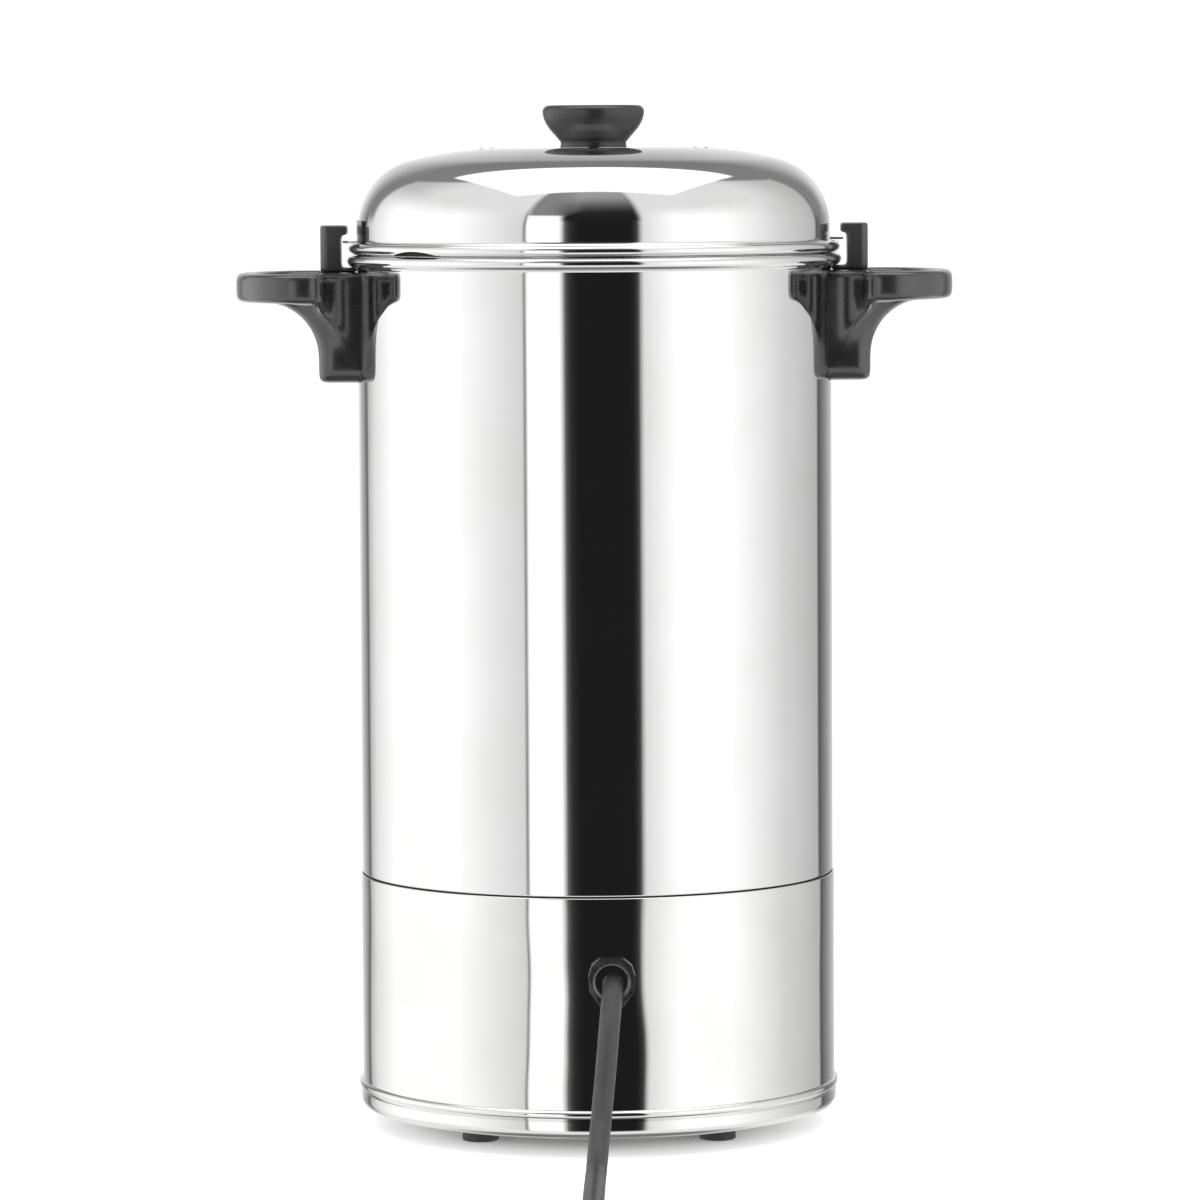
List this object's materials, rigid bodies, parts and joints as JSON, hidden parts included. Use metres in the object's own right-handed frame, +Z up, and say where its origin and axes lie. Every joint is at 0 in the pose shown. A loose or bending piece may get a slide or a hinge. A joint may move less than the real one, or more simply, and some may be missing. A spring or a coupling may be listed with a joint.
{
  "type": "coffee urn",
  "caption": "Polished steel percolating coffee urn with a domed twist-lock lid, loop handles, front tap and sight gauge, inner basket and pump, and a mains lead.",
  "frame": {"origin": "on the counter, at the tank's axis, level with the underside of the feet", "axes": "+Z up along the tank's axis; -Y towards the tap at the front; +X to the right of a person facing the tap, through one handle"},
  "size_m": [0.3659, 0.702, 0.505],
  "materials": {
    "polished_steel": "mirror polished",
    "plain_steel": "plain",
    "aluminium": "cast",
    "element_sheath": "heat-darkened",
    "black_plastic": "satin to gloss",
    "rubber": "matte",
    "silicone": "matte",
    "sight_glass": "clear",
    "copper": "drawn copper",
    "red_plastic": "gloss",
    "cream_plastic": "matte",
    "amber_lens": "translucent",
    "green_lens": "translucent",
    "wire_sleeve": "matte",
    "cord_sheath": "satin",
    "brass": "bright"
  },
  "bodies": {
    "root": {"tank": "polished_steel", "base_skirt": "polished_steel", "base_ring": "polished_steel", "bottom_plate": "plain_steel", "feet": "rubber", "foot_screws": "plain_steel", "foot_nuts": "plain_steel", "base_posts": "plain_steel", "base_screws": "plain_steel", "handle_right": "black_plastic", "handle_left": "black_plastic", "lid_hooks": "black_plastic", "handle_screws": "plain_steel", "handle_washers": "silicone", "tap_body": "black_plastic", "tap_outer_seal": "silicone", "tap_inner_seal": "silicone", "tap_nut": "plain_steel", "tap_bonnet": "black_plastic", "tap_spring": "plain_steel", "gauge_glass": "sight_glass", "gauge_guard": "polished_steel", "gauge_cap": "black_plastic", "gauge_seals": "silicone", "gauge_screw": "plain_steel", "heater_plate": "aluminium", "brewing_element": "element_sheath", "warm_element": "element_sheath", "thermostat": "plain_steel", "cutout": "black_plastic", "cutout_bulb": "copper", "terminal_block": "cream_plastic", "wires": "wire_sleeve", "switch_housing": "black_plastic", "lamp_bezels": "black_plastic", "heat_lens": "amber_lens", "ready_lens": "green_lens", "gland": "black_plastic", "gland_nut": "black_plastic", "cord": "cord_sheath", "cord_coil": "cord_sheath", "plug_body": "cord_sheath", "plug_pins": "brass"},
    "tap_stem": {"tap_stem": "plain_steel", "seat_cup": "silicone"},
    "tap_lever": {"tap_lever": "black_plastic", "lever_pin": "plain_steel"},
    "lid_knob": {"knob": "black_plastic", "knob_screw": "plain_steel", "knob_washer": "silicone"},
    "lid": {"lid_dome": "polished_steel", "lid_collar": "plain_steel", "lid_tabs": "polished_steel"},
    "pump": {"pump_tube": "plain_steel", "pump_foot": "plain_steel"},
    "pump_valve": {"pump_valve": "plain_steel"},
    "basket": {"basket": "plain_steel"},
    "basket_cover": {"basket_cover": "plain_steel"},
    "rocker": {"rocker": "black_plastic"},
    "reset_button": {"reset_button": "red_plastic"}
  },
  "joints": [
    {"name": "tap_valve", "type": "slide", "parent": "root", "child": "tap_stem", "axis": [0, 0, 1], "range_m": [0, 0.0035], "deforming": ["tap_spring"]},
    {"name": "tap_lever_turn", "type": "hinge", "parent": "tap_stem", "child": "tap_lever", "pos_m": [0, -0.1639, 0.18075], "axis": [1, 0, 0], "range_deg": [0, 40], "stiffness_Nm_per_rad": 0.015, "springref_deg": -45.84},
    {"name": "lid_lift", "type": "slide", "parent": "root", "child": "lid_knob", "axis": [0, 0, 1], "range_m": [0, 0.2]},
    {"name": "lid_turn", "type": "hinge", "parent": "lid_knob", "child": "lid", "pos_m": [0, 0, 0.44], "axis": [0, 0, 1], "range_deg": [-10.5, 19.5]},
    {"name": "pump_lift", "type": "slide", "parent": "root", "child": "pump", "axis": [0, 0, 1], "range_m": [0, 0.03]},
    {"name": "pump_valve_lift", "type": "slide", "parent": "pump", "child": "pump_valve", "axis": [0, 0, 1], "range_m": [0, 0.002]},
    {"name": "basket_lift", "type": "slide", "parent": "pump", "child": "basket", "axis": [0, 0, 1], "range_m": [0, 0.02]},
    {"name": "basket_cover_lift", "type": "slide", "parent": "basket", "child": "basket_cover", "axis": [0, 0, 1], "range_m": [0, 0.02]},
    {"name": "switch_rock", "type": "hinge", "parent": "root", "child": "rocker", "pos_m": [0.06174, -0.0988, 0.072], "axis": [-0.848, -0.5299, 0], "range_deg": [0, 16]},
    {"name": "reset_push", "type": "slide", "parent": "root", "child": "reset_button", "axis": [0, 0, 1], "range_m": [0, 0.0015], "stiffness_N_per_m": 300, "springref_m": -0.002}
  ],
  "couplings": [
    {"joint": "tap_valve", "follows": "tap_lever_turn", "m_per_rad": 0.005013}
  ]
}
